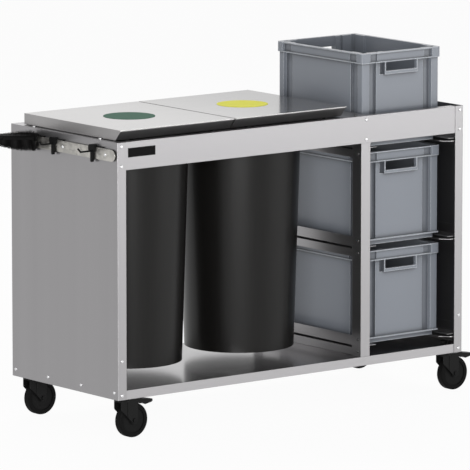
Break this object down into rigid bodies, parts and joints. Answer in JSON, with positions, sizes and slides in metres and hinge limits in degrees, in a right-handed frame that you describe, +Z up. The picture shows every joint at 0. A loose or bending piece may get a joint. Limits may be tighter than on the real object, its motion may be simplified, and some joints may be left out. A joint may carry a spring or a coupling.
{
  "type": "cleaning cart",
  "caption": "Open sheet-steel cleaning cart on casters: lidded round bins hung from a deck, a rack of pull-out stacking crates, and a side strip with tool hooks and a hand brush.",
  "frame": {"origin": "on the floor under the middle of the overall box, which reaches from the brush's handle to the right-hand brake pedal", "axes": "+X along the cart from the tool strip to the crates, +Y from the front to the rear, +Z up"},
  "size_m": [1.5758, 0.5172, 1.029],
  "materials": {
    "sheet_steel": "satin brushed stainless sheet",
    "lid_steel": "brushed stainless sheet",
    "hinge_steel": "drawn stainless",
    "green_disc": "satin vinyl",
    "yellow_disc": "satin vinyl",
    "bin_plastic": "satin black moulded polyethylene",
    "crate_plastic": "blue-grey moulded polypropylene",
    "strip_steel": "galvanised",
    "screw_steel": "bright zinc",
    "clip_plastic": "black moulded nylon",
    "brush_plastic": "black moulded plastic",
    "bristle": "black synthetic bristle",
    "plate_black": "satin black",
    "bumper_rubber": "black rubber",
    "fork_black": "black powder coat",
    "axle_steel": "blackened steel",
    "wheel_core": "black moulded nylon",
    "tyre_rubber": "black rubber"
  },
  "bodies": {
    "cart": {"left_side_panel": "sheet_steel", "right_side_panel": "sheet_steel", "front_top_rail": "sheet_steel", "rear_top_rail": "sheet_steel", "base_tray": "sheet_steel", "corner_doublers": "sheet_steel", "front_divider_post": "sheet_steel", "rear_divider_post": "sheet_steel", "crate_runners_left": "sheet_steel", "crate_runners_right": "sheet_steel", "crate_guides_left": "sheet_steel", "crate_guides_right": "sheet_steel", "bin_deck": "sheet_steel", "lid_bumpers": "bumper_rubber", "blank_plate": "plate_black", "tool_strip": "strip_steel", "strip_spacers": "strip_steel", "dome_screws": "screw_steel", "brush_hook": "clip_plastic", "caster_bolts": "screw_steel", "caster_bearings": "fork_black", "bin_left": "bin_plastic", "hinge_frame_leaf_left": "hinge_steel", "hinge_pin_left": "hinge_steel", "bin_right": "bin_plastic", "hinge_frame_leaf_right": "hinge_steel", "hinge_pin_right": "hinge_steel"},
    "left_lid": {"lid_left": "lid_steel", "lid_disc_left": "green_disc", "hinge_lid_leaf_left": "hinge_steel"},
    "right_lid": {"lid_right": "lid_steel", "lid_disc_right": "yellow_disc", "hinge_lid_leaf_right": "hinge_steel"},
    "top_crate": {"crate_top": "crate_plastic"},
    "middle_crate": {"crate_middle": "crate_plastic"},
    "bottom_crate": {"crate_bottom": "crate_plastic"},
    "front_hook": {"tool_hook_front": "clip_plastic"},
    "middle_hook": {"tool_hook_middle": "clip_plastic"},
    "brush": {"brush_body": "brush_plastic", "brush_bristles": "bristle"},
    "front_left_fork": {"caster_fork_front_left": "fork_black", "caster_axle_front_left": "axle_steel"},
    "front_left_wheel": {"caster_wheel_front_left": "wheel_core", "caster_tyre_front_left": "tyre_rubber"},
    "front_right_fork": {"caster_fork_front_right": "fork_black", "caster_axle_front_right": "axle_steel"},
    "front_right_wheel": {"caster_wheel_front_right": "wheel_core", "caster_tyre_front_right": "tyre_rubber"},
    "rear_left_fork": {"caster_fork_rear_left": "fork_black", "caster_axle_rear_left": "axle_steel"},
    "rear_left_wheel": {"caster_wheel_rear_left": "wheel_core", "caster_tyre_rear_left": "tyre_rubber"},
    "rear_right_fork": {"caster_fork_rear_right": "fork_black", "caster_axle_rear_right": "axle_steel"},
    "rear_right_wheel": {"caster_wheel_rear_right": "wheel_core", "caster_tyre_rear_right": "tyre_rubber"},
    "front_left_pedal": {"brake_pedal_front_left": "fork_black"},
    "front_right_pedal": {"brake_pedal_front_right": "fork_black"}
  },
  "joints": [
    {"name": "left_lid_hinge", "type": "hinge", "parent": "cart", "child": "left_lid", "pos_m": [-0.33421, 0.2174, 0.8604], "axis": [-1, 0, 0], "range_deg": [0, 100]},
    {"name": "right_lid_hinge", "type": "hinge", "parent": "cart", "child": "right_lid", "pos_m": [0.07878, 0.2174, 0.8604], "axis": [-1, 0, 0], "range_deg": [0, 100]},
    {"name": "top_crate_lift", "type": "slide", "parent": "cart", "child": "top_crate", "axis": [0, 0, 1], "range_m": [0, 0.3]},
    {"name": "middle_crate_pull", "type": "slide", "parent": "cart", "child": "middle_crate", "axis": [0, -1, 0], "range_m": [0, 0.47]},
    {"name": "bottom_crate_pull", "type": "slide", "parent": "cart", "child": "bottom_crate", "axis": [0, -1, 0], "range_m": [0, 0.47]},
    {"name": "front_hook_slide", "type": "slide", "parent": "cart", "child": "front_hook", "axis": [0, 1, 0], "range_m": [-0.035, 0.11]},
    {"name": "middle_hook_slide", "type": "slide", "parent": "cart", "child": "middle_hook", "axis": [0, 1, 0], "range_m": [-0.02, 0.03]},
    {"name": "brush_pull", "type": "slide", "parent": "cart", "child": "brush", "axis": [-0.9969, 0, 0.0785], "range_m": [0, 0.06]},
    {"name": "front_left_swivel", "type": "hinge", "parent": "cart", "child": "front_left_fork", "pos_m": [-0.51511, -0.22, 0.1112], "axis": [0, 0, 1], "continuous": true},
    {"name": "front_left_roll", "type": "hinge", "parent": "front_left_fork", "child": "front_left_wheel", "pos_m": [-0.48212, -0.22, 0.05], "axis": [0, 1, 0], "continuous": true},
    {"name": "front_left_brake", "type": "hinge", "parent": "front_left_fork", "child": "front_left_pedal", "pos_m": [-0.46211, -0.22, 0.105], "axis": [0, 1, 0], "range_deg": [0, 12]},
    {"name": "front_right_swivel", "type": "hinge", "parent": "cart", "child": "front_right_fork", "pos_m": [0.68188, -0.22, 0.1112], "axis": [0, 0, 1], "continuous": true},
    {"name": "front_right_roll", "type": "hinge", "parent": "front_right_fork", "child": "front_right_wheel", "pos_m": [0.71488, -0.22, 0.05], "axis": [0, 1, 0], "continuous": true},
    {"name": "front_right_brake", "type": "hinge", "parent": "front_right_fork", "child": "front_right_pedal", "pos_m": [0.73489, -0.22, 0.105], "axis": [0, 1, 0], "range_deg": [0, 12]},
    {"name": "rear_left_swivel", "type": "hinge", "parent": "cart", "child": "rear_left_fork", "pos_m": [-0.51511, 0.22, 0.1112], "axis": [0, 0, 1], "continuous": true},
    {"name": "rear_left_roll", "type": "hinge", "parent": "rear_left_fork", "child": "rear_left_wheel", "pos_m": [-0.48212, 0.22, 0.05], "axis": [0, 1, 0], "continuous": true},
    {"name": "rear_right_swivel", "type": "hinge", "parent": "cart", "child": "rear_right_fork", "pos_m": [0.68188, 0.22, 0.1112], "axis": [0, 0, 1], "continuous": true},
    {"name": "rear_right_roll", "type": "hinge", "parent": "rear_right_fork", "child": "rear_right_wheel", "pos_m": [0.71488, 0.22, 0.05], "axis": [0, 1, 0], "continuous": true}
  ]
}
